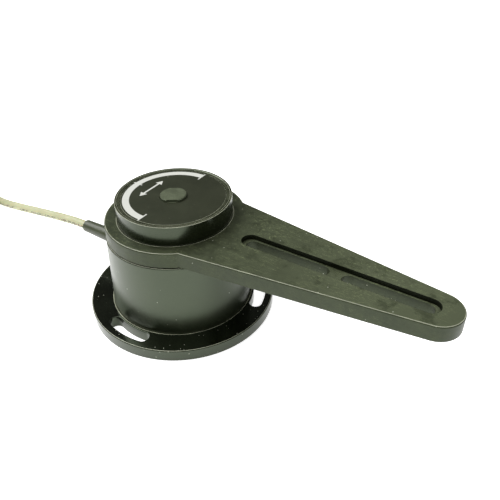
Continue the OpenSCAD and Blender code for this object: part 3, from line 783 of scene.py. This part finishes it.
def sweep(name, body, line, radius, sides, materials, replaced=(), first_side=None,
          sharp=60):
    """A round tube along a line with flat ends; its UV is round the tube and metres along it."""
    heading = [(line[min(i + 1, len(line) - 1)] - line[max(i - 1, 0)]).normalized()
               for i in range(len(line))]
    side = Vector(first_side) if first_side else heading[0].cross((0, 0, 1))
    points, along, travelled = [], [], 0.0
    for i, (here, ahead) in enumerate(zip(line, heading)):
        side = (side - ahead * side.dot(ahead)).normalized()
        third = ahead.cross(side)
        points += [here + radius * (math.cos(2 * math.pi * k / sides) * side
                                    + math.sin(2 * math.pi * k / sides) * third)
                   for k in range(sides)]
        travelled += (here - line[i - 1]).length * MM if i else 0
        along.append(travelled)
    faces, uvs = [], []
    for i in range(len(line) - 1):
        for k in range(sides):
            a, b = i * sides + k, i * sides + (k + 1) % sides
            faces.append([a, b, b + sides, a + sides])
            u, v = k / sides, (k + 1) / sides
            uvs.append([(u, along[i]), (v, along[i]), (v, along[i + 1]), (u, along[i + 1])])
    last = (len(line) - 1) * sides
    for ring in (list(range(sides))[::-1], list(range(last, last + sides))):
        faces.append(ring)
        uvs.append([(0, 0)] * sides)
    return make_piece(name, body, points, faces, materials, replaced, uvs=uvs, sharp=sharp)


def free_cable():
    """The whole cable as one tube, its sleeve and cores, and the ties that hold the coil."""
    inside_boot = Vector((-BOOT_END + BOOT_SOCKET, 0, CABLE_Z))
    print_side = (0, 1, 0.07)
    line = spline([inside_boot, *CABLE_ROUTE], 3) + coil_turns() + cable_tail()
    cable = sweep("free_cable", "housing", line, CABLE_R, CABLE_SIDES, ["cable"],
                  ("cable_run", "cable_coil", "cable_tail"), first_side=print_side)
    pieces = [end_sleeve(), *core_ends(), *coil_ties()]


def tail_frame(along):
    """Where a piece on the coil's top starts: its +Z runs along the turns."""
    lying = Matrix.Translation((COIL_R, along, COIL_TOP)) @ Matrix.Rotation(-math.pi / 2, 4, "X")
    return Matrix.Translation(COIL_AT) @ about_z(TAIL_TURN) @ lying


def end_sleeve():
    """Shrink sleeve: snug on the cable, necked down past its end."""
    r, neck = CABLE_R, SLEEVE_MOUTH
    profile = [(r - 0.3, 0), (r + 0.38, 0, 0.2), (r + 0.4, 5, 2), (r + 0.25, 9, 2), (r, neck, 0.8),
               (r - 0.7, neck + 0.6, 0.3), (r - 0.9, neck)]
    return lathe("end_sleeve_skin", "housing", profile, ["sleeve"], ("end_sleeve",),
                 tail_frame(TAIL_START + TAIL_L), sides=48)


def core_ends():
    """Three cores that fan out and sink onto the coil's top row, each with a tinned tip.

    The fan says how far an outer core goes aside, down and along."""
    made = []
    base = tail_frame(TAIL_START + TAIL_L + SLEEVE_MOUTH)
    low = CABLE_R - CORE_R - 0.25
    fan = ((0.6, 0.2, 0), (1.2, 0.5, 2.5), (2.1, low, 6), (3.2, low, 11), (3.9, low, 15.5),
           (4.3, low, 19))
    for number, side in enumerate((-1, 0, 1)):
        knots = [(aside * side, down, along) for aside, down, along in fan]
        line = [base @ Vector(k) for k in spline(knots, 4)]
        made.append(sweep(f"core_end_{number + 1}", "housing", line[:-TIP_STEPS], CORE_R,
                          CORE_SIDES, [CORES[number]], ("core_ends",), sharp=50))
        made.append(sweep(f"core_tip_{number + 1}", "housing", line[-TIP_STEPS - 1:], WIRE_R,
                          WIRE_SIDES, ["steel"], sharp=50))
    return made


def tie_loop(half, low, high, radius):
    """A rectangle with rounded corners in the bundle's section."""
    corners = [(-half, low, radius), (half, low, radius), (half, high, radius),
               (-half, high, radius)]
    return rounded(corners, 6)[0]


def coil_ties():
    """Flat ties round the bundle, their corners rounded by the cable inside."""
    outer = tie_loop(COIL_SIZE / 2 + TIE_H, 0, COIL_SIZE + 2 * TIE_H, 3)
    inner = tie_loop(COIL_SIZE / 2, TIE_H, COIL_SIZE + TIE_H, 2.6)
    count = len(outer)
    points = [Vector((COIL_R + p.x, side, p.y))
              for side in (-TIE_W / 2, TIE_W / 2) for loop in (outer, inner) for p in loop]
    faces = []
    for i in range(count):
        j = (i + 1) % count
        faces.append([i, j, j + 2 * count, i + 2 * count])
        faces.append([count + j, count + i, count + i + 2 * count, count + j + 2 * count])
        faces.append([j, i, count + i, count + j])
        faces.append([2 * count + i, 2 * count + j, 3 * count + j, 3 * count + i])
    made = []
    for number, turn in enumerate(TIE_TURNS):
        place = Matrix.Translation(COIL_AT) @ about_z(turn)
        made.append(make_piece(f"coil_tie_{number + 1}", "housing", [place @ p for p in points],
                               faces, ["tie"], ("coil_ties",)))
    return made


free_cable()


# ---- Housing ----

def screw_places():
    """Where the screws go up through the flange's lip."""
    return [about_z(SCREW_TURN + 360 * k / SCREWS_ROUND)
            @ Matrix.Translation((FLANGE_SCREW_R, 0, 0)) for k in range(SCREWS_ROUND)]


def mounting_flange():
    """Ring with three curved slots, fine chamfers and countersunk screw holes from below."""
    points, faces, which = [], [], []
    outer_levels, edges = levels_of(0, FLANGE_H, edge_low=0.4, edge_high=0.55)
    low, high = wall(points, faces, which, circle(FLANGE_R), outer_levels, True, edges)
    bottoms, tops = [low], [high]
    slot_levels, _ = levels_of(0, FLANGE_H, edge_low=0.2, edge_high=0.35)
    for turn in SLOT_TURNS:
        low, high = wall(points, faces, which, curved_slot(turn), slot_levels, False)
        bottoms.append(low)
        tops.append(high)
    # The seat's chamfer and a thin flat ring beside it take the painted edge highlight
    bevel, soft, shown = 0.4, 0.12, 0.65
    seat_levels = [(0, LIP_H), (0, FLANGE_H - bevel), (soft, FLANGE_H - soft), (bevel, FLANGE_H),
                   (shown, FLANGE_H)]
    seat_low, high = wall(points, faces, which, circle(SEAT_R), seat_levels, False, {1, 2, 3})
    tops.append(high)
    lip_low, lip_high = wall(points, faces, which, circle(LIP_R), [(0, 0), (0, LIP_H)], False)
    bottoms.append(lip_low)
    cap(points, faces, which, bottoms, up=False)
    cap(points, faces, which, tops, up=True)
    cap(points, faces, which, [seat_low, lip_high], up=True)
    hole_r = SCREW_R + STILL_GAP
    sink_low, sink_r, sink_top = -0.5, 3.27, 1.2
    sink = [(0, sink_low), (sink_r, sink_low), (hole_r, sink_top), (hole_r, LIP_H + PAST),
            (0, LIP_H + PAST)]
    make_piece("flange_ring", "housing", points, faces, ["flange", "edge"],
               ("mounting_flange",), which, holes=[(sink, place) for place in screw_places()])


def housing_body():
    """Conical pot with a thick roof, its bearing boss, and holes for boot, stop pin and screws."""
    bevel = 0.4
    profile = [
        (FOOT_RING_R, LIP_H), (FOOT_R, LIP_H), (FOOT_R, FLANGE_H), (ROOF_R, ROOF_Z - bevel, 0.1),
        (ROOF_R - bevel, ROOF_Z, 0.35, True), (LIP_SEAL_R, ROOF_Z), (LIP_SEAL_R, LIP_SEAL_Z),
        (BUSH_R, LIP_SEAL_Z), (BUSH_R, BOSS_Z), (BOSS_R, BOSS_Z), (BOSS_R, ROOM_TOP),
        (ROOM_R, ROOM_TOP, 1), (ROOM_R, FLANGE_H), (FOOT_RING_R, FLANGE_H),
    ]
    boot_hole = round_hole(BOOT_R + STILL_GAP, ROOM_R - 2 * PAST, FOOT_R + 2 * PAST)
    pin_hole = round_hole(STOP_PIN_R + STILL_GAP, ROOF_Z - STOP_PIN_DEPTH, ROOF_Z + PAST)
    screw_hole = round_hole(SCREW_R + STILL_GAP, 0, SCREW_DEPTH)
    holes = [(boot_hole, tilted(0, 0, CABLE_Z, -90)),
             (pin_hole, Matrix.Translation((STOP_CIRCLE_R, 0, 0)))]
    holes += [(screw_hole, place) for place in screw_places()]
    lathe("housing_pot", "housing", profile, ["housing", "edge"], ("housing_body",),
          holes=holes)


def strain_relief():
    """Tapered boot, cut square at the cable's end."""
    bore = CABLE_R + BORE_SLACK
    straight_to = FOOT_R - 1.5
    flare = 0.25
    profile = [
        (bore, BOOT_INNER), (BOOT_R, BOOT_INNER, 0.3), (BOOT_R, straight_to, 3),
        (BOOT_END_R, BOOT_END, 0.3, True), (bore + flare, BOOT_END, 0.25),
        (bore, BOOT_END - 0.6),
    ]
    lathe("cable_boot", "housing", profile, ["boot", "boot_edge"], ("strain_relief",),
          tilted(0, 0, CABLE_Z, -90), sides=96)


# ---- What turns ----

def lever_outline():
    """Hub circle and tapering arm with a round tip, counter-clockwise.

    The arm's side is the tangent of the tip's circle that meets the Y axis at ARM_ROOT_R."""
    tip_r = TIP_X - ARM_REACH
    slope = math.acos(tip_r / math.hypot(ARM_REACH, ARM_ROOT_R)) - math.atan2(ARM_REACH, ARM_ROOT_R)
    off = ARM_ROOT_R * math.cos(slope)
    run = ARM_ROOT_R * math.sin(slope) + math.sqrt(HUB_R ** 2 - off ** 2)
    corner = math.degrees(math.atan2(ARM_ROOT_R - run * math.sin(slope), run * math.cos(slope)))
    around_tip = 90 - math.degrees(slope)
    return (arc((0, 0), HUB_R, corner, 360 - corner, steps=150)
            + arc((ARM_REACH, 0), tip_r, -around_tip, around_tip, steps=40))


def lever_arm():
    """Hub ring and arm, with the recess, the two through slots and the grub screws' holes."""
    points, faces, which = [], [], []
    floor = LEVER_TOP - RECESS_DEPTH
    levels, edges = levels_of(LEVER_Z, LEVER_TOP, edge_low=0.4, edge_high=0.6)
    low, high = wall(points, faces, which, lever_outline(), levels, True, edges)
    bottoms, tops, floors = [low], [high], []
    # A flat bevel round the bore takes the painted edge highlight
    bevel, soft, shown = 0.25, 0.1, 0.5
    levels = [(0, CAP_SEAT), (0, LEVER_TOP - bevel), (soft, LEVER_TOP - soft), (shown, LEVER_TOP)]
    seat_low, high = wall(points, faces, which, circle(HUB_BORE_R), levels, False, {2})
    tops.append(high)
    levels = [(0, LEVER_Z), (0, CAP_SEAT)]
    low, ledge = wall(points, faces, which, circle(HUB_LEDGE_R), levels, False)
    bottoms.append(low)
    levels, _ = levels_of(floor, LEVER_TOP, edge_low=0, edge_high=0.2)
    # The recess walls take material 2, the near-black painted shade
    recess_low, high = wall(points, faces, which, stadium(*RECESS), levels, False, shade=2)
    tops.append(high)
    for slot in LEVER_SLOTS:
        levels, _ = levels_of(LEVER_Z, floor, edge_low=0.2, edge_high=0.2)
        low, high = wall(points, faces, which, stadium(*slot), levels, False)
        bottoms.append(low)
        floors.append(high)
    cap(points, faces, which, tops, up=True)
    cap(points, faces, which, bottoms, up=False)
    cap(points, faces, which, [seat_low, ledge], up=True)
    cap(points, faces, which, [recess_low, *floors], up=True)
    grub_hole = round_hole(GRUB_R + STILL_GAP, 0, HUB_R)
    start = tilted(CAP_R - 2 * PAST, 0, GRUB_Z, 90)
    make_piece("lever", "rotor", points, faces, ["lever", "edge", "recess_shade"],
               ("lever_arm",), which,
               holes=[(grub_hole, about_z(turn) @ start) for turn in GRUB_TURNS])


def dial_cap():
    """Round cap: a thin rim, a step inside it, the plate's recess, and the stop rib below."""
    step = CAP_Z - RIM_STEP
    seat = PLATE_Z - STILL_GAP
    bore = SHAFT_R + STILL_GAP
    rim_r = CAP_R - RIM_W
    recess_r = PLATE_R + 0.1
    bevel = 0.05
    profile = [
        (bore, CAP_CORE_Z), (CAP_CORE_R, CAP_CORE_Z, 0.3), (CAP_CORE_R, CAP_CEILING_Z, 0.5),
        (SKIRT_R, CAP_CEILING_Z, 1), (SKIRT_R, CAP_SEAT), (CAP_R, CAP_SEAT, 0.2),
        (CAP_R, CAP_Z, 0.22, True), (rim_r, CAP_Z, 0.25, True), (rim_r - RIM_STEP, step, 0.15),
        (recess_r + bevel, step, 0.1), (recess_r, seat), (bore, seat),
    ]
    lathe("cap_turned", "rotor", profile, ["dial_cap", "edge"], ("dial_cap",))
    points, faces, which = [], [], []
    rib_to = 360 - RIB_FROM
    outline = (arc((0, 0), RIB_OUT_R, RIB_FROM, rib_to, steps=60)
               + arc((0, 0), RIB_IN_R, rib_to, RIB_FROM, steps=60))
    levels, _ = levels_of(RIB_Z, CAP_CEILING_Z, edge_low=0.3, edge_high=0)
    low, high = wall(points, faces, which, outline, levels, True)
    cap(points, faces, which, [low], up=False)
    cap(points, faces, which, [high], up=True)
    make_piece("stop_rib", "rotor", points, faces, ["dial_cap"], (), which)


def dial_plate():
    """Label disc with a fine rounded edge."""
    profile = [(PLATE_BORE_R, PLATE_Z), (PLATE_R, PLATE_Z), (PLATE_R, PLATE_TOP, 0.12, True),
               (PLATE_BORE_R, PLATE_TOP, 0.1)]
    lathe("plate_disc", "rotor", profile, ["dial_plate", "edge"], ("dial_plate",))


mounting_flange()
housing_body()
strain_relief()
lever_arm()
dial_cap()
dial_plate()


# ---- CAD nodes that stay, each with its own material ----

def dress_frame():
    """Gives each CAD node that still shows the material of its slot."""
    for row in frame["record"]["subparts"]:
        node = frame["nodes"][row["node"]]
        node.data.materials.clear()
        node.data.materials.append(MATERIALS[row["material_slot"]])
        node.data.set_sharp_from_angle(angle=math.radians(CAD_SHARP))


dress_frame()


# ---- Floor and light ----

def pale_floor():
    """A wide pale sheet just under the part; it glows, so that shadows on it stay faint."""
    mesh = bpy.data.meshes.new("floor")
    r, z = FLOOR_REACH * MM, -FLOOR_DROP * MM
    mesh.from_pydata([(-r, -r, z), (r, -r, z), (r, r, z), (-r, r, z)], [], [(0, 1, 2, 3)])
    made, tree = new_material("pale_floor")
    where = add(tree, "ShaderNodeTexCoord").outputs["Object"]
    paper = noise(tree, where, scale=800, detail=4, roughness=0.6)
    colour = blend_colours(tree, paper, (0.93, 0.93, 0.93), (0.96, 0.96, 0.96))
    finish_material(tree, colour, 0.9, paper, depth=0.01,
                    **{"Emission Color": (1, 1, 1, 1), "Emission Strength": 0.8})
    mesh.materials.append(made)
    floor = bpy.data.objects.new("floor", mesh)
    bpy.context.scene.collection.objects.link(floor)


def soft_sun(name, azimuth, elevation, strength, spread):
    """A wide soft light that comes from a direction."""
    data = bpy.data.lights.new(name, "SUN")
    data.energy = strength
    data.angle = math.radians(spread)
    light = bpy.data.objects.new(name, data)
    light.rotation_mode = "QUATERNION"
    light.rotation_quaternion = (-towards(azimuth, elevation)).to_track_quat("-Z", "Y")
    bpy.context.scene.collection.objects.link(light)


def studio_light():
    """A dim room that looks pale itself, and two wide lights."""
    world = bpy.data.worlds.new("studio")
    world.use_nodes = True
    tree = world.node_tree
    tree.nodes.clear()
    seen = add(tree, "ShaderNodeLightPath").outputs["Is Camera Ray"]
    strength = add(tree, "ShaderNodeMapRange",
                   {"Value": seen, "To Min": 0.08, "To Max": 1.0}).outputs[0]
    around = add(tree, "ShaderNodeBackground", {"Color": (1, 1, 1, 1), "Strength": strength})
    add(tree, "ShaderNodeOutputWorld", {"Surface": around.outputs[0]})
    bpy.context.scene.world = world
    soft_sun("key", azimuth=-82, elevation=50, strength=2.2, spread=44)
    soft_sun("top", azimuth=30, elevation=85, strength=2, spread=80)
    bpy.context.scene.view_settings.view_transform = "Standard"


pale_floor()
studio_light()
